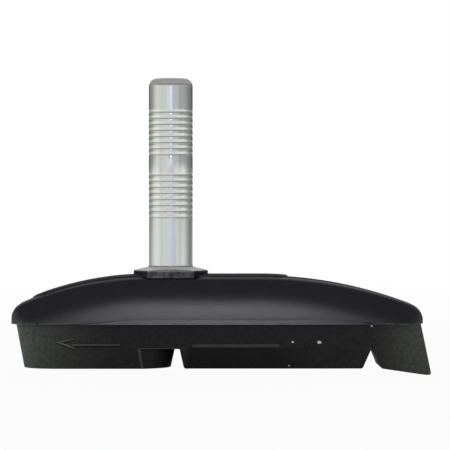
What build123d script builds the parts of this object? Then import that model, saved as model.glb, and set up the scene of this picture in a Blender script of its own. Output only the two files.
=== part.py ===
from build123d import *
import os
from math import atan2, cos, degrees, radians, tan

os.makedirs("parts", exist_ok=True)

# A rim brake pad: a rubber shoe moulded round a steel stud and the backing plate it is riveted to.
# Millimetres. The stud stands along +Z with the root of its shank at the origin, and the claw is at +X.

# Stud
post_d = 7.0
post_length = 30.1
post_end_chamfer = 0.8
groove_starts = (7.7, 17.7)
groove_count = 8
groove_pitch = 0.965
groove_depth = 0.14
flange_d = 11.9
flange_flats = 9.3
flange_cone = 0.55
flange_thickness = 1.6
neck_d = 7.8
tail_d = 5.0
rivet_d = 7.6
rivet_height = 0.9

# Backing plate
plate_top_z = -4.3
plate_thickness = 1.5
plate_width = 7.4
plate_heel_x = -15.5
plate_toe_x = 27.0

# Arched back of the shoe, from its parting plane up
parting_z = -9.0
crest_z = -1.51
crest_heel_x = -3.6
crest_toe_x = 14.2
crest_heel_r = 50.4
crest_toe_r = 68.2
back_heel_x = -25.4
back_toe_x = 40.25
back_width = 13.5
back_corner_r = 4.2
shoulder_r = 2.4

# Skirt along the foot of the back, with sloping ends
skirt_height = 0.95
skirt_proud = 0.12
skirt_heel_x = -16.25
skirt_rise_x = -4.75
skirt_fall_x = 25.25
skirt_toe_x = 34.3

# Raised spine on the crest
spine_rise = 0.3
spine_heel_x = -22.0
spine_toe_x = 18.75
spine_width = 8.0
spine_corner_r = 2.2

# Friction block under the parting plane, with its ends leaning the same way
face_z = -16.0
claw_tip_z = -17.25
block_heel_x = -24.7
block_toe_x = 39.8
block_width = 11.8
block_heel_r = 5.0
block_toe_r = 2.0
block_draft = 3.0
heel_slant = 10.4
toe_slant = 12.1

# Slot across the face: a rounded nose on the heel side, a flat wall on the claw side
slot_nose_x = 0.0
slot_nose_r = 5.7
slot_wall_x = 2.1
slot_depth = 3.13
slot_draft = 12.5

# V notch before the claw
notch_heel_x = 30.4
notch_apex_x = 31.95
notch_claw_x = 33.35
notch_depth = 3.53
notch_lip_r = 0.8

# Wear line, and the hollow below it that dies out towards the claw
wear_z = -12.57
wear_height = 0.49
wear_proud = 0.25
wear_heel_x = 3.4
wear_toe_x = 17.2
hollow_toe_x = 24.5
hollow_top = 0.15
hollow_face = 0.4

# Values that follow from those above
post_r = post_d / 2
flange_r = flange_d / 2
flange_top_z = -flange_cone
flange_bottom_z = flange_top_z - flange_thickness
plate_bottom_z = plate_top_z - plate_thickness
rivet_bottom_z = plate_bottom_z - rivet_height
reach = 2.0
half_span = back_width / 2 + reach
back_height = crest_z - parting_z
heel_lean = tan(radians(heel_slant))
toe_lean = tan(radians(toe_slant))
inset = tan(radians(block_draft))
claw_tip_x = block_toe_x + (parting_z - claw_tip_z) * toe_lean
slot_floor_z = face_z + slot_depth
slot_growth = slot_depth * tan(radians(slot_draft))
nose_axis_x = slot_nose_x - slot_nose_r / cos(radians(slot_draft))


# Outline of the back from the side, raised by a height: an arc up from the heel, a flat run, an arc down
def side_outline(rise):
    heel_sweep = degrees(atan2(crest_heel_x - back_heel_x + reach, crest_heel_r - back_height))
    toe_sweep = degrees(atan2(back_toe_x - crest_toe_x + reach, crest_toe_r - back_height))
    heel_centre = (crest_heel_x, crest_z - crest_heel_r)
    toe_centre = (crest_toe_x, crest_z - crest_toe_r)
    foot_z = parting_z - reach
    with BuildSketch(Plane.XZ) as outline:
        with BuildLine():
            up = CenterArc(heel_centre, crest_heel_r + rise, 90 + heel_sweep, -heel_sweep)
            Line(up @ 1, (crest_toe_x, crest_z + rise))
            down = CenterArc(toe_centre, crest_toe_r + rise, 90, -toe_sweep)
            Polyline(down @ 1, ((down @ 1).X, foot_z), ((up @ 0).X, foot_z), up @ 0)
        make_face()
    return outline.sketch


# Half width of the drafted block at a height
def block_half(z):
    return block_width / 2 - (parting_z - z) * inset


# Outline of the hollow on one side (1 or -1), set back from that side at its top and at its foot
def hollow_section(x, top, foot, side):
    with BuildSketch(Plane.YZ.offset(x)) as hollow:
        Polygon(
            (side * (block_half(wear_z) - top), wear_z),
            (side * (block_half(face_z) - foot), face_z),
            (side * half_span, face_z),
            (side * half_span, wear_z),
            align=None,
        )
    return hollow.sketch.face()


# Ring grooves, as points of the stud's outline from the lowest up
rings = []
for start in groove_starts:
    rings.append((post_r, start - groove_pitch / 2))
    for ring in range(groove_count):
        groove_z = start + ring * groove_pitch
        rings.append((post_r - groove_depth, groove_z))
        rings.append((post_r, groove_z + groove_pitch / 2))

# Stud, turned in one piece: grooved shank, flange with two flats, neck, tail and rivet head
with BuildPart() as post:
    with BuildSketch(Plane.XZ) as turning:
        with BuildLine():
            Polyline(
                (0, post_length),
                (post_r - post_end_chamfer, post_length),
                (post_r, post_length - post_end_chamfer),
                *reversed(rings),
                (post_r, 0),
                (flange_r, flange_top_z),
                (flange_r, flange_bottom_z),
                (neck_d / 2, flange_bottom_z),
                (neck_d / 2, plate_top_z),
                (tail_d / 2, plate_top_z),
                (tail_d / 2, plate_bottom_z),
                (rivet_d / 2, plate_bottom_z),
                (rivet_d / 2, rivet_bottom_z),
                (0, rivet_bottom_z),
                close=True,
            )
        make_face()
    revolve(axis=Axis.Z)
    Box(flange_d, flange_flats, 2 * (post_length + reach), mode=Mode.INTERSECT)
post.part.label = "post"
export_step(post.part, "parts/post.step")

# Backing plate, a stamped strip with a hole for the tail of the stud
with BuildPart() as backing_plate:
    with BuildSketch(Plane.XY.offset(plate_bottom_z)) as strip:
        with Locations(((plate_heel_x + plate_toe_x) / 2, 0)):
            SlotOverall(plate_toe_x - plate_heel_x, plate_width)
        Circle(tail_d / 2, mode=Mode.SUBTRACT)
    extrude(amount=plate_thickness)
backing_plate.part.label = "backing_plate"
export_step(backing_plate.part, "parts/backing_plate.step")

# Arched back: its side outline carried across, cut to a rounded plan. The rim that is left is one smooth
# loop, so the shoulder runs all the way round from one of its edges.
with BuildPart() as back:
    extrude(side_outline(0), amount=half_span, both=True)
    with BuildSketch(Plane.XY.offset(parting_z)) as back_plan:
        with Locations(((back_heel_x + back_toe_x) / 2, 0)):
            RectangleRounded(back_toe_x - back_heel_x, back_width, back_corner_r)
    extrude(amount=back_height, mode=Mode.INTERSECT)
    fillet(back.edges().filter_by(Axis.X).sort_by(Axis.Z)[-1], shoulder_r)

# Skirt: a thin band proud of the sides
with BuildPart() as skirt:
    with BuildSketch(Plane.XZ) as band:
        Polygon(
            (skirt_heel_x, parting_z),
            (skirt_toe_x, parting_z),
            (skirt_fall_x, parting_z + skirt_height),
            (skirt_rise_x, parting_z + skirt_height),
            align=None,
        )
    extrude(amount=back_width / 2 + skirt_proud, both=True)

# Raised spine: the same outline a little higher, cut to a narrow plan
with BuildPart() as spine:
    extrude(side_outline(spine_rise), amount=half_span, both=True)
    with BuildSketch(Plane.XY.offset(parting_z)) as spine_plan:
        with Locations(((spine_heel_x + spine_toe_x) / 2, 0)):
            RectangleRounded(spine_toe_x - spine_heel_x, spine_width, spine_corner_r)
    extrude(amount=back_height + spine_rise, mode=Mode.INTERSECT)

# Slot: a tapering gap across the block, less the leaning round nose that stands in it
with BuildPart() as slot:
    with BuildSketch(Plane.XZ) as gap:
        Polygon(
            (nose_axis_x, face_z),
            (slot_wall_x, face_z),
            (slot_wall_x - slot_growth, slot_floor_z),
            (nose_axis_x + slot_growth, slot_floor_z),
            align=None,
        )
    extrude(amount=half_span, both=True)
    with Locations(Location((nose_axis_x, 0, face_z), (0, slot_draft, 0))):
        Cylinder(slot_nose_r, 4 * slot_depth, mode=Mode.SUBTRACT)

# Friction block: its side outline with the notch and the claw, cut to a drafted section, with round corners
with BuildPart() as block:
    with BuildSketch(Plane.XZ) as profile:
        with BuildLine():
            Polyline(
                (block_heel_x, parting_z),
                (block_heel_x + (parting_z - face_z) * heel_lean, face_z),
                (notch_heel_x, face_z),
                (notch_apex_x, face_z + notch_depth),
                (notch_claw_x, face_z),
                (claw_tip_x, claw_tip_z),
                (block_toe_x, parting_z),
                close=True,
            )
        make_face()
        lips = profile.vertices().filter_by(lambda corner: corner.X in (notch_heel_x, notch_claw_x))
        fillet(lips, notch_lip_r)
    extrude(amount=half_span, both=True)
    with BuildSketch(Plane.YZ.offset(block_heel_x)) as section:
        Polygon(
            (-block_half(parting_z), parting_z),
            (-block_half(claw_tip_z), claw_tip_z),
            (block_half(claw_tip_z), claw_tip_z),
            (block_half(parting_z), parting_z),
            align=None,
        )
    extrude(amount=claw_tip_x - block_heel_x, mode=Mode.INTERSECT)
    heel_end = block.faces().sort_by(Axis.X)[0]
    fillet(heel_end.edges().filter_by(Axis.Y, reverse=True), block_heel_r)
    toe_end = block.faces().sort_by(Axis.X)[-1]
    fillet(toe_end.edges().filter_by(Axis.Y, reverse=True), block_toe_r)
    add(slot.part, mode=Mode.SUBTRACT)
    for side in (-1, 1):
        deep = hollow_section(slot_wall_x, hollow_top, hollow_face, side)
        shallow = hollow_section(hollow_toe_x, 0, 0, side)
        loft(sections=[deep, shallow], ruled=True, mode=Mode.SUBTRACT)

# Wear line: a ridge along both sides, sloped on top
with BuildPart() as wear_line:
    with BuildSketch(Plane.YZ.offset(wear_heel_x)) as ridge:
        Polygon(
            (block_half(wear_z) - reach, wear_z),
            (block_half(wear_z) + wear_proud, wear_z),
            (block_half(wear_z + wear_height), wear_z + wear_height),
            (block_half(wear_z) - reach, wear_z + wear_height),
            align=None,
        )
        mirror(about=Plane.YZ)
    extrude(amount=wear_toe_x - wear_heel_x)

# Shoe: the moulding in one piece, formed round the stud and its plate
with BuildPart() as shoe:
    add(back.part)
    add(skirt.part)
    add(spine.part)
    add(block.part)
    add(wear_line.part)
    add(backing_plate.part, mode=Mode.SUBTRACT)
    add(post.part, mode=Mode.SUBTRACT)
shoe.part.label = "shoe"
export_step(shoe.part, "parts/shoe.step")
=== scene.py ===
import math
import bmesh
import bpy
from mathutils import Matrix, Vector


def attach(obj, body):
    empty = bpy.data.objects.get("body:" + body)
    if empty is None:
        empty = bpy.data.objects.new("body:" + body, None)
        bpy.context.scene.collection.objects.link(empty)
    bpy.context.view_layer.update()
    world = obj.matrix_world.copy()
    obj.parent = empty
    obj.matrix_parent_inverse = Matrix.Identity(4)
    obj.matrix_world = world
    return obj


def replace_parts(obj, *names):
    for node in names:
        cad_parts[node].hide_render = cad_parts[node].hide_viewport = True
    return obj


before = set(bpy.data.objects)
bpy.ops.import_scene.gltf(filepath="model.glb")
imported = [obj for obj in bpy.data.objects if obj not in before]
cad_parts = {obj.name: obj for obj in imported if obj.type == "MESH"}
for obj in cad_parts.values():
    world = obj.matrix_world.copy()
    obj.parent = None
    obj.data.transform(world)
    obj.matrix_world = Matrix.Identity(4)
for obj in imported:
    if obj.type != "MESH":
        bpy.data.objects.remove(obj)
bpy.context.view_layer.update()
print("frame loaded:", ", ".join(sorted(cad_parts)))

mm = 0.001  # the pieces below are modelled in millimetres
snap = 1e-5  # vertices closer than this are merged
touch = 0.01  # a vertex this close to a wall belongs to it
slack = 1e-4  # leeway where a depth is compared
tiny = 1e-9  # keeps a division away from zero


# mesh helpers
def cutPlane(bm, point, normal, clear=False):
    everything = bm.verts[:] + bm.edges[:] + bm.faces[:]
    return bmesh.ops.bisect_plane(bm, geom=everything, dist=snap, plane_co=point, plane_no=normal,
                                  clear_outer=clear)


def cutAcross(bm, axis, places):  # straight cuts through the whole mesh
    for place in places:
        point, normal = Vector(), Vector()
        point[axis] = place
        normal[axis] = 1
        cutPlane(bm, point, normal)


def evenCuts(start, end, count):
    return [start + (end - start) * cut / count for cut in range(1, count)]


def pullOut(bm, faces, along):  # extrude faces into a closed block
    grown = bmesh.ops.extrude_face_region(bm, geom=faces)
    far = [item for item in grown["geom"] if isinstance(item, bmesh.types.BMVert)]
    bmesh.ops.translate(bm, verts=far, vec=along)


def roundCorners(bm, corners, size, steps):  # corners of a flat face
    bmesh.ops.bevel(bm, geom=corners, affect="VERTICES", offset=size, segments=steps, profile=0.5,
                    material=-1)


def flatPlan(bm, shape):  # a rectangle with round corners, lying flat
    middle = (shape["heelX"] + shape["toeX"]) / 2
    bmesh.ops.create_grid(bm, x_segments=1, y_segments=1, size=0.5)
    bmesh.ops.scale(bm, verts=bm.verts, vec=(shape["toeX"] - shape["heelX"], shape["width"], 1))
    bmesh.ops.translate(bm, verts=bm.verts, vec=(middle, 0, 0))
    roundCorners(bm, bm.verts[:], shape["cornerR"], shape["cornerSteps"])
    return bm.faces[:][0]


def insetCap(bm, cap, thickness):  # a new row inside the rim of a flat face
    bmesh.ops.inset_region(bm, faces=[cap], thickness=thickness, use_boundary=True, use_even_offset=True)


def closeFoot(bm):  # a face over the open rim
    rim = [edge for edge in bm.edges if edge.is_boundary]
    bmesh.ops.holes_fill(bm, edges=rim, sides=0)


def softenEdges(bm, size, steps=3, sharper=35, keep=None):  # a small round on every sharp edge
    sharp = [edge for edge in bm.edges
             if len(edge.link_faces) == 2 and edge.calc_face_angle(0) > math.radians(sharper)
             and (keep is None or keep(edge))]
    bmesh.ops.bevel(bm, geom=sharp, affect="EDGES", offset=size, segments=steps, profile=0.5,
                    material=-1, clamp_overlap=True)


def finishPiece(name, bm, materials, smooth=32):
    bmesh.ops.remove_doubles(bm, verts=bm.verts, dist=snap)
    bmesh.ops.recalc_face_normals(bm, faces=bm.faces)
    bmesh.ops.scale(bm, verts=bm.verts, vec=(mm, mm, mm))
    mesh = bpy.data.meshes.new(name)
    bm.to_mesh(mesh)
    bm.free()
    for material in materials:
        mesh.materials.append(material)
    mesh.polygons.foreach_set("use_smooth", [True] * len(mesh.polygons))
    mesh.set_sharp_from_angle(angle=math.radians(smooth))
    piece = bpy.data.objects.new(name, mesh)
    bpy.context.scene.collection.objects.link(piece)
    weighted = piece.modifiers.new("evenShading", "WEIGHTED_NORMAL")
    weighted.keep_sharp = True
    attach(piece, "root")
    print("piece made:", name, len(mesh.polygons), "faces")
    return piece


# node helpers
def feed(tree, value, socket):  # a wire from another node, or a plain value
    if isinstance(value, bpy.types.NodeSocket):
        tree.links.new(value, socket)
    else:
        socket.default_value = value


def placeNode(tree, kind, sockets=None, **settings):
    node = tree.nodes.new(kind)
    for name, value in settings.items():
        setattr(node, name, value)
    for name, value in (sockets or {}).items():
        feed(tree, value, node.inputs[name])
    return node


def mixColours(tree, share, first, second):
    mix = placeNode(tree, "ShaderNodeMix", {0: share, 6: first, 7: second}, data_type="RGBA")
    return mix.outputs[2]


def mapValue(tree, value, low, high, toLow=0.0, toHigh=1.0, smooth=False):
    sockets = {"Value": value, "From Min": low, "From Max": high, "To Min": toLow, "To Max": toHigh}
    kind = "SMOOTHSTEP" if smooth else "LINEAR"
    return placeNode(tree, "ShaderNodeMapRange", sockets, interpolation_type=kind).outputs["Result"]


def fadeOver(tree, value, span, smooth=False):  # from 0 to 1 over a span in millimetres
    return mapValue(tree, value, span[0] * mm, span[1] * mm, smooth=smooth)


def calculate(tree, operation, first, second=0.0):
    return placeNode(tree, "ShaderNodeMath", {0: first, 1: second}, operation=operation).outputs[0]


def multiply(tree, first, second):
    return calculate(tree, "MULTIPLY", first, second)


def noiseAt(tree, vector, scale, detail=3.0, rough=0.55):
    sockets = {"Vector": vector, "Scale": scale, "Detail": detail, "Roughness": rough}
    return placeNode(tree, "ShaderNodeTexNoise", sockets).outputs[0]


def splitVector(tree, vector):
    return placeNode(tree, "ShaderNodeSeparateXYZ", {0: vector}).outputs


def newMaterial(name, **constants):
    material = bpy.data.materials.new(name)
    material.use_nodes = True
    tree = material.node_tree
    shader = tree.nodes["Principled BSDF"]
    for socket, value in constants.items():
        shader.inputs[socket.replace("_", " ")].default_value = value
    where = tree.nodes.new("ShaderNodeTexCoord").outputs["Object"]
    return material, tree, shader, where


def roughFrom(tree, shader, share, finish):
    low, high = finish["rough"]
    feed(tree, mapValue(tree, share, 0, 1, low, high), shader.inputs["Roughness"])


def bumpFrom(tree, shader, height, finish):
    sockets = {"Strength": finish["bump"], "Distance": finish["bumpTall"] * mm, "Height": height}
    feed(tree, placeNode(tree, "ShaderNodeBump", sockets).outputs["Normal"], shader.inputs["Normal"])


def startGroup(name, values, outputs):  # takes a vector and plain values, gives plain values
    group = bpy.data.node_groups.new(name, "ShaderNodeTree")
    group.interface.new_socket(name="Vector", in_out="INPUT", socket_type="NodeSocketVector")
    for socket in values:
        group.interface.new_socket(name=socket, in_out="INPUT", socket_type="NodeSocketFloat")
    for socket in outputs:
        group.interface.new_socket(name=socket, in_out="OUTPUT", socket_type="NodeSocketFloat")
    return group, group.nodes.new("NodeGroupInput").outputs, group.nodes.new("NodeGroupOutput").inputs


def placeGroup(tree, group, sockets):
    return placeNode(tree, "ShaderNodeGroup", sockets, node_tree=group).outputs


# effects that several finishes share: first the grain of moulded rubber, with pits and broad blotches
grainEffect = {
    "detail": 4.0, "rough": 0.6, "range": (0.34, 0.66),
    "pitScale": 0.45, "pitRim": (0.05, 0.35), "pitTall": 0.08,
    "blotchDetail": 5.0, "blotchRough": 0.62, "blotchRange": (0.36, 0.64),
}


def makeMouldedGrain(effect):
    group, given, made = startGroup("mouldedGrain", ("Grain Scale", "Blotch Scale"),
                                    ("Height", "Mottle", "Fine"))
    where = given["Vector"]
    fine = noiseAt(group, where, given["Grain Scale"], effect["detail"], effect["rough"])
    pitScale = multiply(group, given["Grain Scale"], effect["pitScale"])
    pits = placeNode(group, "ShaderNodeTexVoronoi", {"Vector": where, "Scale": pitScale})
    rims = mapValue(group, pits.outputs["Distance"], *effect["pitRim"], smooth=True)
    blotch = noiseAt(group, where, given["Blotch Scale"], effect["blotchDetail"], effect["blotchRough"])
    feed(group, calculate(group, "ADD", multiply(group, rims, effect["pitTall"]), fine), made["Height"])
    feed(group, mapValue(group, fine, *effect["range"]), made["Fine"])
    feed(group, mapValue(group, blotch, *effect["blotchRange"]), made["Mottle"])
    return group


# thin marks from handling, drawn out along the piece
rubEffect = {
    "turn": (0, 0.35, 0), "stretch": (0.12, 1, 1), "detail": 2.0, "rough": 0.5, "soft": 0.06,
    "patchScale": 0.16, "patchRange": (0.45, 0.62),
}


def makeRubMarks(effect):
    group, given, made = startGroup("rubMarks", ("Scale", "Cover"), ("Marks",))
    drawn = placeNode(group, "ShaderNodeMapping", {"Vector": given["Vector"], "Rotation": effect["turn"],
                                                   "Scale": effect["stretch"]}).outputs[0]
    lines = noiseAt(group, drawn, given["Scale"], effect["detail"], effect["rough"])
    patchScale = multiply(group, given["Scale"], effect["patchScale"])
    patches = noiseAt(group, given["Vector"], patchScale, effect["detail"])
    limit = calculate(group, "SUBTRACT", 1.0, given["Cover"])
    thin = mapValue(group, lines, limit, calculate(group, "ADD", limit, effect["soft"]))
    feed(group, multiply(group, thin, mapValue(group, patches, *effect["patchRange"])), made["Marks"])
    return group


# fine lines along the stud, with a slow change of tint round it
streakEffect = {
    "detail": 3.0, "rough": 0.6, "range": (0.3, 0.7),
    "tintScale": 0.22, "tintDetail": 1.0, "tintRange": (0.36, 0.64),
    "speckScale": 3200.0, "speckDetail": 4.0, "speckRough": 0.65,
}


def makeDrawnStreaks(effect):
    group, given, made = startGroup("drawnStreaks", ("Across", "Along"), ("Streak", "Tint", "Speckle"))
    stretch = placeNode(group, "ShaderNodeCombineXYZ", {"X": given["Across"], "Y": given["Across"],
                                                        "Z": given["Along"]}).outputs[0]
    drawn = placeNode(group, "ShaderNodeVectorMath", {0: given["Vector"], 1: stretch},
                      operation="MULTIPLY").outputs[0]
    lines = noiseAt(group, drawn, 1.0, effect["detail"], effect["rough"])
    tint = noiseAt(group, drawn, effect["tintScale"], effect["tintDetail"])
    specks = noiseAt(group, given["Vector"], effect["speckScale"], effect["speckDetail"],
                     effect["speckRough"])
    feed(group, mapValue(group, lines, *effect["range"]), made["Streak"])
    feed(group, mapValue(group, tint, *effect["tintRange"]), made["Tint"])
    feed(group, mapValue(group, specks, *effect["range"]), made["Speckle"])
    return group


mouldedGrain = makeMouldedGrain(grainEffect)
rubMarks = makeRubMarks(rubEffect)
drawnStreaks = makeDrawnStreaks(streakEffect)
print("shared effects made")


def grainOn(tree, where, finish):
    return placeGroup(tree, mouldedGrain, {"Vector": where, "Grain Scale": finish["grainScale"],
                                           "Blotch Scale": finish["blotchScale"]})


def streaksOn(tree, where, finish):
    return placeGroup(tree, drawnStreaks, {"Vector": where, "Across": finish["across"],
                                           "Along": finish["along"]})


# rubber of the arched back: bluish black with a satin skin
backFinish = {
    "dark": (0.0040, 0.0043, 0.0110, 1), "pale": (0.0085, 0.0088, 0.0190, 1),
    "gloss": 1.0, "rough": (0.16, 0.22), "grainScale": 4200.0, "blotchScale": 520.0,
    "bump": 0.28, "bumpTall": 0.05,
}


def makeBackRubber(finish):
    material, tree, shader, where = newMaterial("backRubber", Specular_IOR_Level=finish["gloss"])
    grain = grainOn(tree, where, finish)
    skin = mixColours(tree, grain["Mottle"], finish["dark"], finish["pale"])
    feed(tree, skin, shader.inputs["Base Color"])
    roughFrom(tree, shader, grain["Fine"], finish)
    bumpFrom(tree, shader, grain["Height"], finish)
    return material


# rubber of the block: duller, and paler towards both ends, a painted light for the light falling on its ends,
# broken up by the grain
blockFinish = {
    "dark": (0.0050, 0.0053, 0.0050, 1), "pale": (0.0190, 0.0202, 0.0184, 1),
    "gloss": 0.32, "rough": (0.46, 0.60), "grainScale": 1900.0, "blotchScale": 300.0, "fineShare": 0.6,
    "bump": 0.3, "bumpTall": 0.06,
    "ends": (0.150, 0.163, 0.140, 1), "endsLow": 0.55,
    "heelX": (-7.0, -24.0), "heelCover": 0.84, "clawX": (31.0, 40.0), "clawCover": 0.5,
    "marks": (0.10, 0.10, 0.095, 1), "markScale": 1400.0, "markCover": 0.37, "markShare": 0.1,
    # painted shade: the hollow under the wear line is painted darker, for the shade under the wear line's
    # ridge
    "paintedShade": (0.0012, 0.0012, 0.0012, 1),  # the hollow under the wear line is darker
    "paintedShadeZ": (-12.5, -13.0), "paintedShadeHeelX": (2.4, 2.8), "paintedShadeClawX": (24.0, 15.0),
}
# painted highlight: paler rubber for the raised wear line, arrow and mould line, for the light on their tops
paintedHighlightFinish = {**blockFinish, "dark": (0.055, 0.058, 0.055, 1), "pale": (0.075, 0.080, 0.075, 1),
              "ends": (0.34, 0.36, 0.33, 1), "paintedShade": (0.055, 0.058, 0.055, 1)}
# painted shadow: near-black rubber for the strips under the arrow and the wear line
paintedShadowFinish = {**blockFinish, "dark": (0.002, 0.002, 0.002, 1), "pale": (0.006, 0.006, 0.006, 1),
              "ends": (0.014, 0.015, 0.013, 1)}


def makeBlockRubber(name, finish):
    material, tree, shader, where = newMaterial(name, Specular_IOR_Level=finish["gloss"])
    grain = grainOn(tree, where, finish)
    place = splitVector(tree, where)
    tone = mapValue(tree, grain["Mottle"], 0, 1, multiply(tree, grain["Fine"], finish["fineShare"]),
                    grain["Fine"])
    skin = mixColours(tree, tone, finish["dark"], finish["pale"])
    # painted light: paler towards the heel and the claw
    near = fadeOver(tree, place["X"], finish["heelX"])
    heel = multiply(tree, multiply(tree, near, near), finish["heelCover"])
    claw = multiply(tree, fadeOver(tree, place["X"], finish["clawX"], smooth=True), finish["clawCover"])
    broken = mapValue(tree, grain["Fine"], 0, 1, finish["endsLow"], 1.0)
    cover = multiply(tree, calculate(tree, "MAXIMUM", heel, claw), broken)
    paintedLightEndsTone = mixColours(tree, cover, skin, finish["ends"])
    # painted shade: darker in the hollow under the wear line
    along = multiply(tree, fadeOver(tree, place["X"], finish["paintedShadeHeelX"]),
                     fadeOver(tree, place["X"], finish["paintedShadeClawX"]))
    paintedShadeShare = multiply(tree, fadeOver(tree, place["Z"], finish["paintedShadeZ"]), along)
    hollow = mixColours(tree, paintedShadeShare, paintedLightEndsTone, finish["paintedShade"])
    rubbed = placeGroup(tree, rubMarks, {"Vector": where, "Scale": finish["markScale"],
                                         "Cover": finish["markCover"]})
    marked = multiply(tree, rubbed["Marks"], finish["markShare"])
    feed(tree, mixColours(tree, marked, hollow, finish["marks"]), shader.inputs["Base Color"])
    roughFrom(tree, shader, grain["Mottle"], finish)
    bumpFrom(tree, shader, grain["Height"], finish)
    return material


# metal of the stud: bright zinc on the shank; paler and rougher in its rings, the roughness a burnished
# finish and the paleness a painted highlight; dull on the cut end; pale and dull on the cone, painted light
# on its upward face
zincFinish = {
    "warm": (0.80, 0.83, 0.755, 1), "cool": (0.755, 0.79, 0.80, 1), "metal": 1.0, "rough": (0.12, 0.19),
    "line": (0.60, 0.62, 0.63, 1), "lineWide": 0.35, "lineShare": 0.7, "across": 900.0, "along": 40.0,
    "bump": 0.05, "bumpTall": 0.02,
}
# painted highlight: the rings' paler copy of the zinc; their higher roughness is a burnished finish
ringHighlightFinish = {**zincFinish, "warm": (0.95, 0.97, 0.84, 1), "cool": (0.93, 0.96, 0.93, 1),
              "line": (0.80, 0.82, 0.74, 1), "rough": (0.3, 0.42)}
endFinish = {**zincFinish, "warm": (0.67, 0.65, 0.645, 1), "cool": (0.74, 0.72, 0.725, 1),
             "metal": 0.2, "rough": (0.5, 0.62), "across": 500.0, "along": 500.0}
# painted light: a pale, dull copy of the zinc for the cone that faces up
coneLitFinish = {**zincFinish, "warm": (0.93, 0.93, 0.92, 1), "cool": (0.97, 0.97, 0.98, 1),
              "metal": 0.15, "line": (0.84, 0.84, 0.85, 1), "rough": (0.4, 0.55)}


def makeStudMetal(name, finish):
    material, tree, shader, where = newMaterial(name, Metallic=finish["metal"])
    drawn = streaksOn(tree, where, finish)
    plating = mixColours(tree, drawn["Tint"], finish["warm"], finish["cool"])
    lines = mapValue(tree, drawn["Streak"], 0, finish["lineWide"], finish["lineShare"], 0)
    feed(tree, mixColours(tree, lines, plating, finish["line"]), shader.inputs["Base Color"])
    roughFrom(tree, shader, drawn["Speckle"], finish)
    bumpFrom(tree, shader, drawn["Speckle"], finish)
    return material


# darker metal of the flange, paler along its upper edge as a painted highlight, and darkest round its rim as
# painted shade
flangeFinish = {
    "dark": (0.05, 0.05, 0.055, 1), "pale": (0.24, 0.24, 0.25, 1), "rough": (0.6, 0.38),
    "edgeHighlight": (0.46, 0.46, 0.46, 1), "edgeHighlightZ": (-0.8, -0.45), "edgeHighlightLow": 0.5,
    "across": 700.0, "along": 500.0, "bump": 0.35, "bumpTall": 0.08,
}
# painted shade: the near-black copy for the rim
rimShadeFinish = {**flangeFinish, "dark": (0.016, 0.016, 0.018, 1), "pale": (0.075, 0.075, 0.08, 1),
             "edgeHighlight": (0.30, 0.30, 0.30, 1)}


def makeFlangeMetal(name, finish):
    material, tree, shader, where = newMaterial(name, Metallic=1.0)
    drawn = streaksOn(tree, where, finish)
    torn = multiply(tree, drawn["Streak"], drawn["Speckle"])
    skin = mixColours(tree, torn, finish["dark"], finish["pale"])
    # painted highlight: paler along the upper edge
    edge = fadeOver(tree, splitVector(tree, where)["Z"], finish["edgeHighlightZ"])
    edgeHighlightShare = multiply(tree, edge, mapValue(tree, drawn["Speckle"], 0, 1, finish["edgeHighlightLow"], 1))
    feed(tree, mixColours(tree, edgeHighlightShare, skin, finish["edgeHighlight"]), shader.inputs["Base Color"])
    roughFrom(tree, shader, drawn["Streak"], finish)
    bumpFrom(tree, shader, drawn["Streak"], finish)
    return material


# plain steel of the backing plate
plateFinish = {
    "dark": (0.30, 0.30, 0.31, 1), "pale": (0.46, 0.46, 0.47, 1), "evenRough": 0.42,
    "across": 400.0, "along": 400.0, "bump": 0.15, "bumpTall": 0.03,
}


def makePlateSteel(finish):
    material, tree, shader, where = newMaterial("plateSteel", Metallic=1.0, Roughness=finish["evenRough"])
    drawn = streaksOn(tree, where, finish)
    skin = mixColours(tree, drawn["Streak"], finish["dark"], finish["pale"])
    feed(tree, skin, shader.inputs["Base Color"])
    bumpFrom(tree, shader, drawn["Speckle"], finish)
    return material


# pale grit
gritFinish = {"dark": (0.9, 0.9, 0.89, 1), "pale": (1.0, 1.0, 0.98, 1), "evenRough": 0.8, "scale": 6000.0}


def makeFleckGrit(finish):
    material, tree, shader, where = newMaterial("fleckGrit", Roughness=finish["evenRough"])
    skin = mixColours(tree, noiseAt(tree, where, finish["scale"]), finish["dark"], finish["pale"])
    feed(tree, skin, shader.inputs["Base Color"])
    return material


backRubber = makeBackRubber(backFinish)
plateSteel = makePlateSteel(plateFinish)
fleckGrit = makeFleckGrit(gritFinish)
blockRubber = makeBlockRubber("blockRubber", blockFinish)
paintedHighlightRubber = makeBlockRubber("paintedHighlightRubber", paintedHighlightFinish)
paintedShadowRubber = makeBlockRubber("paintedShadowRubber", paintedShadowFinish)
studMetals = {
    "shank": makeStudMetal("studMetal", zincFinish),
    "flat": makeFlangeMetal("flangeMetal", flangeFinish),
    "ring": makeStudMetal("ringHighlightMetal", ringHighlightFinish),
    "cutEnd": makeStudMetal("cutEndMetal", endFinish),
    "rim": makeFlangeMetal("rimShadeMetal", rimShadeFinish),
    "cone": makeStudMetal("coneLitMetal", coneLitFinish),
}
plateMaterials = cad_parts["backing_plate"].data.materials
plateMaterials.clear()
plateMaterials.append(plateSteel)
print("finishes made")

# arched back of the shoe
back = {
    "heelX": -25.4, "toeX": 40.25, "width": 13.5, "footZ": -9.0, "cornerR": 4.2, "cornerSteps": 14,
    "crestZ": -1.51, "crestHeelX": -3.6, "crestToeX": 14.2, "heelArc": 50.4, "toeArc": 68.2,
    "shoulderR": 2.0, "endShoulderR": 2.9, "endPower": 3, "shoulderSteps": 14,
    "footLean": 5.0, "topLean": 17.5, "wallSteps": 10,  # the side walls lean in, more towards the top
    "bow": 0.7, "bowPower": 4,  # and draw in towards both ends
    "slices": 64, "footEdge": 0.12, "footSharp": 60, "solveSteps": 20,
}


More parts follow.
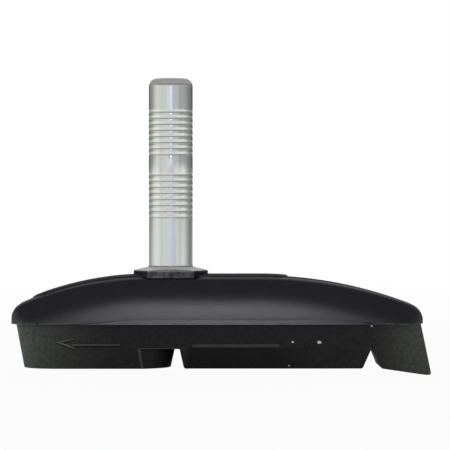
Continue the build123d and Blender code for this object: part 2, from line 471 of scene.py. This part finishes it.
def archZ(x, sink=0.0):  # height of the arch, or of the same arch sunk below it
    if x < back["crestHeelX"]:
        centre, radius = back["crestHeelX"], back["heelArc"]
    elif x > back["crestToeX"]:
        centre, radius = back["crestToeX"], back["toeArc"]
    else:
        return back["crestZ"] - sink
    return back["crestZ"] - radius + math.sqrt((radius - sink) ** 2 - (x - centre) ** 2)


def bowed(x, y):  # the plan drawn in towards its ends
    middle, half = (back["heelX"] + back["toeX"]) / 2, (back["toeX"] - back["heelX"]) / 2
    return y * (1 - 2 * back["bow"] / back["width"] * ((x - middle) / half) ** back["bowPower"])


def bowSides(bm):
    for vert in bm.verts:
        vert.co.y = bowed(vert.co.x, vert.co.y)


def inFromRim(point, shape):  # how far in from the rim of the plan, and the way inwards
    coreX = shape["cornerR"]
    coreY = shape["width"] / 2 - shape["cornerR"]
    core = Vector((min(max(point.x, shape["heelX"] + coreX), shape["toeX"] - coreX),
                   min(max(point.y, -coreY), coreY), 0))
    inward = core - Vector((point.x, point.y, 0))
    depth = shape["cornerR"] - inward.length
    return depth, inward.normalized()


def sectionAt(inward):  # the wall and shoulder there: upright walls and a rounder shoulder at the ends
    share = 1 - abs(inward.x) ** back["endPower"]
    foot, top = math.radians(back["footLean"] * share), math.radians(back["topLean"] * share)
    radius = back["endShoulderR"] + (back["shoulderR"] - back["endShoulderR"]) * share
    tall = back["crestZ"] - back["footZ"] - radius * (1 - math.sin(top))
    steady, curve = tall * math.tan(foot), tall * (math.tan(top) - math.tan(foot)) / 3
    return top, radius, steady, curve


def wallDepth(up, steady, curve):  # how far in the wall is at a share of its height
    return steady * up + curve * up ** 3


def wallShare(depth, steady, curve):  # and the share at which a depth is reached, by Newton's steps
    if depth <= 0:
        return 0
    up = 1.0
    for step in range(back["solveSteps"]):
        up -= (wallDepth(up, steady, curve) - depth) / (steady + 3 * curve * up ** 2 + tiny)
    return up


def shoulderZ(point, inward, turn, radius):  # a ball of the shoulder's radius rolled round the rim
    slope = math.atan(abs(archZ(point.x + touch) - archZ(point.x - touch)) / (2 * touch))
    if turn > math.pi / 2 - math.asin(math.sin(slope) * abs(inward.x)):
        return archZ(point.x)
    ballX = point.x + inward.x * radius * math.cos(turn)
    stretch = 1 + (1 / math.cos(slope) - 1) * inward.y ** 2
    return archZ(ballX, radius) + stretch * radius * math.sin(turn)


def makeBack():
    bm = bmesh.new()
    cap = flatPlan(bm, back)
    lean, radius, steady, curve = sectionAt(Vector((0, 1, 0)))
    depths = []
    for row in range(1, back["wallSteps"] + 1):
        depths.append(wallDepth(row / back["wallSteps"], steady, curve))
    for row in range(1, back["shoulderSteps"] + 1):
        turn = lean + (math.pi / 2 - lean) * row / back["shoulderSteps"]
        depths.append(steady + curve + radius * (math.cos(lean) - math.cos(turn)))
    before = 0
    for depth in depths:
        insetCap(bm, cap, depth - before)
        before = depth
    cutAcross(bm, 0, evenCuts(back["heelX"], back["toeX"], back["slices"]))
    for vert in bm.verts:
        depth, inward = inFromRim(vert.co, back)
        lean, radius, steady, curve = sectionAt(inward)
        crown = steady + curve
        if depth >= crown + radius * math.cos(lean) - slack:
            vert.co.z = archZ(vert.co.x)
        elif depth > crown:
            turn = math.acos(min(1, math.cos(lean) - (depth - crown) / radius))
            vert.co.z = shoulderZ(vert.co, inward, turn, radius)
        else:
            up = wallShare(depth, steady, curve)
            vert.co.z = back["footZ"] + up * (shoulderZ(vert.co, inward, lean, radius) - back["footZ"])
    bowSides(bm)
    closeFoot(bm)
    softenEdges(bm, back["footEdge"], sharper=back["footSharp"])
    return finishPiece("shoeBack", bm, [backRubber])


# raised spine along the crest
spine = {
    "heelX": -22.0, "toeX": 18.75, "width": 8.0, "cornerR": 2.2, "cornerSteps": 8,
    "rise": 0.3, "sunk": 0.9, "edge": 0.28, "edgeSteps": 6, "slices": 150,
    "lip": 0.001,  # the wall stands on the outer row, the edge on the next one in
}


def makeSpine():
    bm = bmesh.new()
    cap = flatPlan(bm, spine)
    step = spine["edge"] / spine["edgeSteps"]
    for thickness in [spine["lip"]] + [step] * spine["edgeSteps"]:
        insetCap(bm, cap, thickness)
    cutAcross(bm, 0, evenCuts(spine["heelX"], spine["toeX"], spine["slices"]))
    for vert in bm.verts:
        depth = inFromRim(vert.co, spine)[0]
        if depth < spine["lip"] / 2:
            vert.co.z = archZ(vert.co.x) - spine["sunk"]
        else:
            left = max(0, spine["edge"] - depth)  # a round edge along the top
            drop = spine["edge"] - math.sqrt(max(0, spine["edge"] ** 2 - left ** 2))
            vert.co.z = archZ(vert.co.x) + spine["rise"] - drop
    closeFoot(bm)
    return finishPiece("shoeSpine", bm, [backRubber])


# skirt along the foot of the back
skirt = {
    "heelX": -16.25, "riseX": -4.75, "fallX": 25.25, "toeX": 34.3,
    "height": 0.95, "proud": 0.12, "lean": 7.5, "edge": 0.06, "longEdge": 5, "slices": 24,
}


def makeSkirt():
    bm = bmesh.new()
    footZ = back["footZ"]
    topZ = footZ + skirt["height"]
    half = back["width"] / 2 + skirt["proud"]
    corners = [(skirt["heelX"], footZ), (skirt["toeX"], footZ),
               (skirt["fallX"], topZ), (skirt["riseX"], topZ)]
    face = bm.faces.new([bm.verts.new((x, -half, z)) for x, z in corners])
    pullOut(bm, [face], (0, 2 * half, 0))
    for vert in bm.verts:
        vert.co.y *= 1 - (vert.co.z - footZ) * math.tan(math.radians(skirt["lean"])) / half
    bmesh.ops.recalc_face_normals(bm, faces=bm.faces)
    softenEdges(bm, skirt["edge"], keep=lambda edge: edge.calc_length() > skirt["longEdge"])
    cutAcross(bm, 0, evenCuts(skirt["heelX"], skirt["toeX"], skirt["slices"]))
    bowSides(bm)
    return finishPiece("shoeSkirt", bm, [backRubber])


# friction block
block = {
    "heelX": -24.7, "toeX": 39.8, "topZ": -9.0, "faceZ": -16.0, "width": 11.8,
    "sunk": 0.4,  # goes up into the back, out of sight
    "heelSlant": 10.4, "toeSlant": 12.1, "draft": 3.0, "heelR": 5.0, "toeR": 2.0,
    "clawZ": -17.25, "clawEnd": 1.0,
    "noseX": 0.0, "noseR": 5.7, "slotWallX": 2.1, "slotDepth": 3.13, "slotDraft": 12.5,
    "notchHeelX": 30.4, "notchApexX": 31.95, "notchClawX": 33.35, "notchDepth": 3.53,
    "wearZ": -12.57, "hollowHeelX": 2.25, "hollowDeepX": 2.95, "hollowToeX": 24.5, "hollow": 0.4,
    # corners of the side outline that are rounded: how far, and in how many steps
    "rounds": {"clawTip": (0.55, 5), "wallFoot": (0.4, 4), "notchHeel": (0.28, 6), "notchClaw": (0.28, 6)},
    "edge": 0.13,
    "turns": (9, 18, 27, 36, 45, 54, 63, 72),  # rows across, closer towards the sides
}


def blockHalf(z):
    return block["width"] / 2 - (block["topZ"] - z) * math.tan(math.radians(block["draft"]))


def hollowAt(x, z):  # how far the side stands back under the wear line
    if z > block["wearZ"] or not block["hollowHeelX"] < x < block["hollowToeX"]:
        return 0
    rise = min(1, (x - block["hollowHeelX"]) / (block["hollowDeepX"] - block["hollowHeelX"]))
    fade = min(1, (block["hollowToeX"] - x) / (block["hollowToeX"] - block["hollowDeepX"]))
    return block["hollow"] * rise * fade * (block["wearZ"] - z) / (block["wearZ"] - block["faceZ"])


def roundedBy(y, half, radius):  # how far a round corner takes an end wall back
    past = max(0, abs(y) - (half - radius))
    return radius - math.sqrt(max(0, radius ** 2 - past ** 2))


def makeBlock():
    bm = bmesh.new()
    heelLean = math.tan(math.radians(block["heelSlant"]))
    toeLean = math.tan(math.radians(block["toeSlant"]))
    slotLean = math.tan(math.radians(block["slotDraft"]))
    grow = block["slotDepth"] * slotLean
    faceZ, roofZ, topZ = block["faceZ"], block["faceZ"] + block["slotDepth"], block["topZ"] + block["sunk"]
    clawX = block["toeX"] + (block["topZ"] - block["clawZ"]) * toeLean
    clawFall = (faceZ - block["clawZ"]) / (clawX - block["notchClawX"])
    sideOn = {
        "heelTop": (block["heelX"] - block["sunk"] * heelLean, topZ),
        "heelFoot": (block["heelX"] + (block["topZ"] - faceZ) * heelLean, faceZ),
        "noseFoot": (block["noseX"], faceZ),
        "noseRoof": (block["noseX"] + grow, roofZ),
        "wallRoof": (block["slotWallX"] - grow, roofZ),
        "wallFoot": (block["slotWallX"], faceZ),
        "notchHeel": (block["notchHeelX"], faceZ),
        "notchApex": (block["notchApexX"], faceZ + block["notchDepth"]),
        "notchClaw": (block["notchClawX"], faceZ),
        "clawTip": (clawX, block["clawZ"]),
        "toeTop": (block["toeX"] - block["sunk"] * toeLean, topZ),
    }
    corners = {name: bm.verts.new((x, -1, z)) for name, (x, z) in sideOn.items()}
    bm.faces.new(list(corners.values()))
    for name, (size, steps) in block["rounds"].items():
        roundCorners(bm, [corners[name]], size, steps)
    pullOut(bm, bm.faces[:], (0, 2, 0))  # one unit to each side, widened to the block's section below
    rows = [math.sin(math.radians(turn)) for turn in block["turns"]]
    cutAcross(bm, 1, [0] + rows + [-row for row in rows])
    cutAcross(bm, 0, (block["hollowHeelX"], block["hollowDeepX"], block["hollowToeX"]))
    cutAcross(bm, 2, (block["wearZ"],))
    noseHalf = block["noseR"] / math.cos(math.radians(block["slotDraft"]))  # the leaning nose cut level
    for vert in bm.verts:
        x, z = vert.co.x, vert.co.z
        half = blockHalf(z)
        y = vert.co.y * (half - hollowAt(x, z))
        heelWall = block["heelX"] + (block["topZ"] - z) * heelLean
        noseWall = block["noseX"] + (z - faceZ) * slotLean
        if abs(x - heelWall) < touch:
            x += roundedBy(y, half, block["heelR"])
        elif x > block["toeX"] - block["clawEnd"]:  # the end of the claw with its round tip
            takenBack = roundedBy(y, half, block["toeR"])
            x -= takenBack
            z += clawFall * takenBack if z < faceZ else 0
        elif abs(x - noseWall) < touch and z < roofZ + touch:
            x -= noseHalf * (1 - math.sqrt(max(0, 1 - (y / block["noseR"]) ** 2)))
        vert.co = (x, bowed(x, y), z)
    bmesh.ops.recalc_face_normals(bm, faces=bm.faces)
    softenEdges(bm, block["edge"], keep=lambda edge: max(vert.co.z for vert in edge.verts) < block["topZ"])
    return finishPiece("shoeBlock", bm, [blockRubber])


# wear line on both sides of the block
wear = {"heelX": 3.4, "toeX": 17.2, "height": 0.49, "proud": 0.25, "sunk": 1.0, "edge": 0.06}


def makeWearLine():
    bm = bmesh.new()
    footZ = block["wearZ"]
    topZ = footZ + wear["height"]
    inside = blockHalf(footZ) - wear["sunk"]
    corners = [(inside, footZ), (blockHalf(footZ) + wear["proud"], footZ), (blockHalf(topZ), topZ),
               (inside, topZ)]
    for side in (-1, 1):
        face = bm.faces.new([bm.verts.new((wear["heelX"], side * y, z)) for y, z in corners])
        pullOut(bm, [face], (wear["toeX"] - wear["heelX"], 0, 0))
    bmesh.ops.recalc_face_normals(bm, faces=bm.faces)
    softenEdges(bm, wear["edge"])
    return finishPiece("wearLine", bm, [paintedHighlightRubber])


# raised on both sides, as outlines in x and z: a direction arrow and the mould line round the slot, both in
# paler rubber as a painted highlight, and near-black strips under arrow and wear line as a painted shadow
arrow = {
    "outlines": (
        ((-18.2, -11.75), (-15.35, -11.12), (-15.3, -11.32), (-17.2, -11.78)),
        ((-18.2, -11.75), (-17.2, -11.78), (-15.1, -12.6), (-15.3, -12.85)),
        ((-15.6, -12.05), (-15.6, -12.32), (-8.0, -12.32), (-8.0, -12.05)),
    ),
    "proud": 0.16, "sunk": 0.6, "edge": 0.05, "edgeSteps": 2,
}
# painted shadow: dark strips under the arrow and the wear line, for the shade beneath them
paintedShadowStrips = {
    "outlines": (
        ((3.0, -12.57), (3.0, -12.88), (17.2, -12.88), (17.2, -12.57)),
        ((-15.6, -12.32), (-15.6, -12.55), (-8.0, -12.55), (-8.0, -12.32)),
        ((-17.2, -11.78), (-15.3, -11.32), (-15.28, -11.5), (-16.8, -11.93)),
        ((-18.1, -11.85), (-15.3, -12.85), (-15.35, -13.05), (-18.0, -12.0)),
    ),
    "proud": 0.08, "sunk": 0.5, "edge": 0.03, "edgeSteps": 2,
}
# a raised mould line along the slot's crease and roof edge, in paler rubber as a painted highlight
mouldLineHighlight = {
    "outlines": (
        ((-5.2, -12.68), (-5.2, -12.84), (1.3, -12.84), (1.3, -12.68)),
        ((-5.2, -12.84), (-4.8, -12.84), (-4.3, -15.9), (-4.7, -15.9)),
    ),
    "proud": 0.06, "sunk": 0.5, "edge": 0.03, "edgeSteps": 2,
}


def makeMarks(name, marks, material):
    bm = bmesh.new()
    for side in (-1, 1):
        for outline in marks["outlines"]:
            corners = []
            for x, z in outline:
                corners.append(bm.verts.new((x, side * (blockHalf(z) + marks["proud"]), z)))
            pullOut(bm, [bm.faces.new(corners)], (0, -side * marks["sunk"], 0))
    bowSides(bm)
    bmesh.ops.recalc_face_normals(bm, faces=bm.faces)
    softenEdges(bm, marks["edge"], marks["edgeSteps"])
    return finishPiece(name, bm, [material])


# pale crumbs of grit caught on the near side, as places in x and z with a size
flecks = {
    "places": ((19.3, -11.75, 0.18), (23.5, -11.8, 0.3), (31.8, -9.2, 0.18), (18.7, -15.5, 0.1)),
    "squash": (1.15, 0.35, 0.85), "smooth": 80,
}


def makeFlecks():
    bm = bmesh.new()
    for x, z, size in flecks["places"]:
        made = bmesh.ops.create_icosphere(bm, subdivisions=2, radius=size)["verts"]
        bmesh.ops.scale(bm, verts=made, vec=flecks["squash"])
        bmesh.ops.translate(bm, verts=made, vec=(x, bowed(x, -blockHalf(z)), z))
    return finishPiece("gritFlecks", bm, [fleckGrit], smooth=flecks["smooth"])


# stud with its ring grooves and flange
stud = {
    "radius": 3.5, "length": 30.1, "endRound": 1.3, "endSteps": 10,
    "bands": (7.7, 17.7), "grooves": 8, "pitch": 0.965,
    "grooveDepth": 0.045, "grooveHalf": 0.3, "grooveLift": 0.32, "grooveSteps": 8,
    "flangeR": 5.95, "flats": 9.3, "cone": 0.55, "flangeThick": 1.6,
    "rootCurve": ((0.0, 0.3), (0.036, 0.12), (0.12, 0.0)),  # out from the shank and up
    "coneBend": (4.75, -0.2585),
    "rimCurve": ((-0.18, 0.036), (-0.054, -0.036), (0.0, -0.18)),  # from the flange's upper edge
    "neckR": 3.9, "tailR": 2.5, "rivetR": 3.8, "plateTopZ": -4.3, "plateThick": 1.5, "rivetTall": 0.9,
    "steps": 128, "weld": 1e-4, "smooth": 25,
    "cutDeep": 0.85,  # the end is cut rough
    "ringSlope": 0.05,  # faces that slope more than this have the metal of the rings
    "flatFacing": 0.99,  # and those that face sideways more than this are the flats
}


def studOutline():
    r, top, end = stud["radius"], stud["length"], stud["endRound"]
    points = [(0, top)]
    for step in range(stud["endSteps"] + 1):
        turn = math.pi / 2 * step / stud["endSteps"]
        points.append((r - end * (1 - math.sin(turn)), top - end * (1 - math.cos(turn))))
    for band in reversed(stud["bands"]):
        for ring in reversed(range(stud["grooves"])):
            for step in range(stud["grooveSteps"] + 1):
                across = 1 - 2 * step / stud["grooveSteps"]
                sink = stud["grooveDepth"] * (1 + math.cos(math.pi * across)) / 2
                rise = stud["grooveLift"] + across * stud["grooveHalf"]
                points.append((r - sink, band + ring * stud["pitch"] + rise))
    rimTop, rimFoot = -stud["cone"], -stud["cone"] - stud["flangeThick"]
    plateFoot = stud["plateTopZ"] - stud["plateThick"]
    rivetFoot = plateFoot - stud["rivetTall"]
    points += [(r + out, up) for out, up in stud["rootCurve"]]
    points.append(stud["coneBend"])
    points += [(stud["flangeR"] + out, rimTop + up) for out, up in stud["rimCurve"]]
    points += [
        (stud["flangeR"], rimFoot), (stud["neckR"], rimFoot), (stud["neckR"], stud["plateTopZ"]),
        (stud["tailR"], stud["plateTopZ"]), (stud["tailR"], plateFoot), (stud["rivetR"], plateFoot),
        (stud["rivetR"], rivetFoot), (0, rivetFoot),
    ]
    return points


def metalOf(face):  # which of the stud's metals a face has
    middle = face.calc_center_median()
    if middle.z > stud["length"] - stud["cutDeep"]:
        return "cutEnd"
    # the groove slopes and the root are rougher, and paler as a painted highlight
    if middle.z > 0:  # the slopes of each groove, and the root, are burnished
        return "ring" if abs(face.normal.z) > stud["ringSlope"] else "shank"
    # the flats get the flange metal, lighter than the rim's painted shade
    if abs(face.normal.y) > stud["flatFacing"]:  # the dark skin is milled off the flats
        return "flat"
    # painted light and shade: the cone facing up gets pale metal, the rim below it near-black metal
    return "rim" if middle.z < -stud["cone"] else "cone"


def makeStud():
    bm = bmesh.new()
    verts = [bm.verts.new((x, 0, z)) for x, z in studOutline()]
    edges = [bm.edges.new(pair) for pair in zip(verts, verts[1:])]
    bmesh.ops.spin(bm, geom=verts + edges, cent=(0, 0, 0), axis=(0, 0, 1), angle=math.tau,
                   steps=stud["steps"], use_merge=True, use_duplicate=False)
    bmesh.ops.remove_doubles(bm, verts=bm.verts, dist=stud["weld"])
    bmesh.ops.recalc_face_normals(bm, faces=bm.faces)
    for side in (-1, 1):
        cut = cutPlane(bm, (0, side * stud["flats"] / 2, 0), (0, side, 0), clear=True)
        rim = [edge for edge in cut["geom_cut"] if isinstance(edge, bmesh.types.BMEdge)]
        bmesh.ops.holes_fill(bm, edges=rim, sides=0)
    bmesh.ops.recalc_face_normals(bm, faces=bm.faces)
    metals = list(studMetals)
    for face in bm.faces:
        face.material_index = metals.index(metalOf(face))
    return finishPiece("brakeStud", bm, studMetals.values(), smooth=stud["smooth"])


shoePieces = [makeBack(), makeSpine(), makeSkirt(), makeBlock()]
for piece in shoePieces:
    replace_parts(piece, "shoe")
makeWearLine()
makeMarks("directionArrow", arrow, paintedHighlightRubber)
makeMarks("paintedShadowStrips", paintedShadowStrips, paintedShadowRubber)
makeMarks("slotMouldLineHighlight", mouldLineHighlight, paintedHighlightRubber)
makeFlecks()
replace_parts(makeStud(), "post")

# floor and the panels round the set, in metres and degrees
studio = {
    "floorSize": 3.0, "floorColour": (0.86, 0.86, 0.86, 1), "floorRough": 0.9,
    "nearWhite": 0.95, "fadeFrom": 0.07, "fadeTo": 0.5,  # the floor turns plain white away from the object
    "glowFrom": 0.02, "glowTo": 0.09,  # and shows metal the panels beyond it
    # how bright the panels are, by bearing from the camera's side
    "wallPanels": ((-180, 0.1), (-144, 0.25), (-118, 0.32), (-100, 0.5), (-80, 0.78), (-47, 0.72),
                   (-22, 0.74), (-12, 0.92), (4, 0.92), (16, 0.57), (39, 0.55), (51, 0.37), (63, 0.43),
                   (89, 0.35), (125, 0.2), (180, 0.1)),
    "floorPanels": ((-180, 0.6), (-144, 0.3), (-118, 0.58), (-100, 0.9), (-71, 0.95), (-47, 0.64),
                    (-36, 0.8), (-14, 0.7), (7, 0.6), (28, 0.9), (51, 0.78), (63, 0.98), (75, 0.95),
                    (89, 0.66), (105, 0.38), (125, 0.24), (180, 0.6)),
    "frontTint": (0.975, 1.0, 1.10), "sideTint": (1.0, 1.0, 0.97), "frontTintHalf": 20,
    # how far up the panels fade, beside, in front and behind, and the bearings where each begins
    "sideReach": (9, 20), "frontReach": (2.6, 5.5), "backReach": (55, 80),
    "frontHalf": (8, 16), "backHalf": (135, 160),
    "rearLow": 0.04, "rearHigh": 0.42, "rearRise": (10, 24),  # the panel behind is brighter higher up
    "ceiling": 0.15,  # what metal sees above the panels
    "softReach": (34, 50), "softLow": 0.65, "softHigh": 0.27,  # light on dull surfaces, from low and overhead
}


def bearingOf(tree, facing):  # the angle round the set, from the camera's side
    return calculate(tree, "ARCTAN2", facing["X"], multiply(tree, facing["Y"], -1.0))


def panelLevel(tree, bearing, stops):
    ramp = placeNode(tree, "ShaderNodeValToRGB", {0: mapValue(tree, bearing, -math.pi, math.pi)})
    points = ramp.color_ramp.elements
    while len(points) < len(stops):
        points.new(0.5)
    for point, (degrees, level) in zip(points, stops):
        point.position = (degrees + 180) / 360
        tint = studio["frontTint"] if abs(degrees) < studio["frontTintHalf"] else studio["sideTint"]
        point.color = [level * share for share in tint] + [1]
    return ramp.outputs["Color"]


def riseOver(tree, height, span):  # from 0 to 1 between two angles up
    low, high = [math.sin(math.radians(angle)) for angle in span]
    return mapValue(tree, height, low, high, smooth=True)


def fadeAbove(tree, height, span):  # from 1 to 0 between two angles up
    return riseOver(tree, height, reversed(span))


def turnOver(tree, turned, span):  # from 0 to 1 between two bearings, on either side
    first, last = [math.radians(angle) for angle in span]
    return mapValue(tree, turned, first, last, smooth=True)


def raySeen(tree):
    path = tree.nodes.new("ShaderNodeLightPath").outputs
    direct = calculate(tree, "MAXIMUM", path["Is Camera Ray"], path["Is Transmission Ray"])
    return direct, path["Is Glossy Ray"]


def makeFloor():
    bm = bmesh.new()
    bmesh.ops.create_grid(bm, x_segments=1, y_segments=1, size=studio["floorSize"])
    bmesh.ops.translate(bm, verts=bm.verts, vec=(0, 0, block["clawZ"] * mm))  # the claw rests on it
    mesh = bpy.data.meshes.new("studioFloor")
    bm.to_mesh(mesh)
    bm.free()
    floor = bpy.data.objects.new("studioFloor", mesh)
    bpy.context.scene.collection.objects.link(floor)
    material, tree, shader, where = newMaterial("paleFloor", Roughness=studio["floorRough"],
                                                Base_Color=studio["floorColour"])
    away = placeNode(tree, "ShaderNodeVectorMath", {0: where}, operation="LENGTH").outputs["Value"]
    far = mapValue(tree, away, studio["fadeFrom"], studio["fadeTo"], smooth=True)
    beyond = mapValue(tree, away, studio["glowFrom"], studio["glowTo"], smooth=True)
    direct, glossy = raySeen(tree)
    white = multiply(tree, direct, mapValue(tree, far, 0, 1, studio["nearWhite"], 1.0))
    share = calculate(tree, "MAXIMUM", white, multiply(tree, glossy, beyond))
    level = panelLevel(tree, bearingOf(tree, splitVector(tree, where)), studio["floorPanels"])
    glow = placeNode(tree, "ShaderNodeEmission", {"Color": mixColours(tree, glossy, (1, 1, 1, 1), level)})
    mix = placeNode(tree, "ShaderNodeMixShader", {0: share, 1: shader.outputs[0], 2: glow.outputs[0]})
    feed(tree, mix.outputs[0], tree.nodes["Material Output"].inputs["Surface"])
    mesh.materials.append(material)


def makeWorld():
    world = bpy.data.worlds.new("studioWorld")
    bpy.context.scene.world = world
    world.use_nodes = True
    tree = world.node_tree
    facing = splitVector(tree, tree.nodes.new("ShaderNodeTexCoord").outputs["Generated"])
    height = facing["Z"]
    bearing = bearingOf(tree, facing)
    turned = calculate(tree, "ABSOLUTE", bearing)
    level = panelLevel(tree, bearing, studio["wallPanels"])
    beside, inFront, behind, soft = [fadeAbove(tree, height, studio[name]) for name in
                                     ("sideReach", "frontReach", "backReach", "softReach")]
    band = mapValue(tree, turnOver(tree, turned, reversed(studio["frontHalf"])), 0, 1, beside, inFront)
    dark = studio["ceiling"]
    sides = mixColours(tree, band, (dark, dark, dark, 1), level)
    rise = riseOver(tree, height, studio["rearRise"])
    rear = mapValue(tree, rise, 0, 1, studio["rearLow"], studio["rearHigh"])
    rear = mapValue(tree, behind, 0, 1, dark, rear)
    panels = mixColours(tree, turnOver(tree, turned, studio["backHalf"]), sides, rear)
    direct, glossy = raySeen(tree)
    dull = mapValue(tree, soft, 0, 1, studio["softHigh"], studio["softLow"])
    lit = mixColours(tree, glossy, dull, panels)
    seen = mixColours(tree, direct, lit, (1, 1, 1, 1))
    feed(tree, seen, tree.nodes["Background"].inputs["Color"])


# lamps, in metres; the one behind isn't mirrored in metal
softboxes = {
    "frontPanel": {"place": (0.010, -0.75, 0.140), "target": (0.008, 0, -0.006), "size": (0.136, 0.09),
                   "power": 0.113, "tint": (0.97, 0.97, 1.0), "mirrored": True},
    "rearPanel": {"place": (-0.05, 0.6, 0.55), "target": (0, 0, 0), "size": (0.5, 0.25),
                  "power": 0.8, "tint": (1, 1, 1), "mirrored": False},
}


def aimAt(thing, place, target):
    thing.location = place
    thing.rotation_euler = (Vector(target) - Vector(place)).to_track_quat("-Z", "Y").to_euler()


def addSoftbox(name, softbox):
    lamp = bpy.data.lights.new(name, "AREA")
    lamp.shape = "RECTANGLE"
    lamp.size, lamp.size_y = softbox["size"]
    lamp.energy = softbox["power"]
    lamp.color = softbox["tint"]
    box = bpy.data.objects.new(name, lamp)
    bpy.context.scene.collection.objects.link(box)
    aimAt(box, softbox["place"], softbox["target"])
    box.visible_camera = False
    box.visible_glossy = softbox["mirrored"]


# camera, in millimetres
view = {"place": (2.0, -400.0, 12.5), "target": (8.68, 0.0, 6.67), "lens": 199.76, "sensor": 36, "near": 10}


def addCamera():
    lens = bpy.data.cameras.new("photoView")
    lens.lens = view["lens"]
    lens.sensor_width = view["sensor"]
    lens.clip_start = view["near"] * mm
    camera = bpy.data.objects.new("photoView", lens)
    bpy.context.scene.collection.objects.link(camera)
    aimAt(camera, Vector(view["place"]) * mm, Vector(view["target"]) * mm)
    bpy.context.scene.camera = camera


makeFloor()
makeWorld()
for name, softbox in softboxes.items():
    addSoftbox(name, softbox)
addCamera()
bpy.context.scene.view_settings.view_transform = "Standard"
print("floor, lights and camera made")
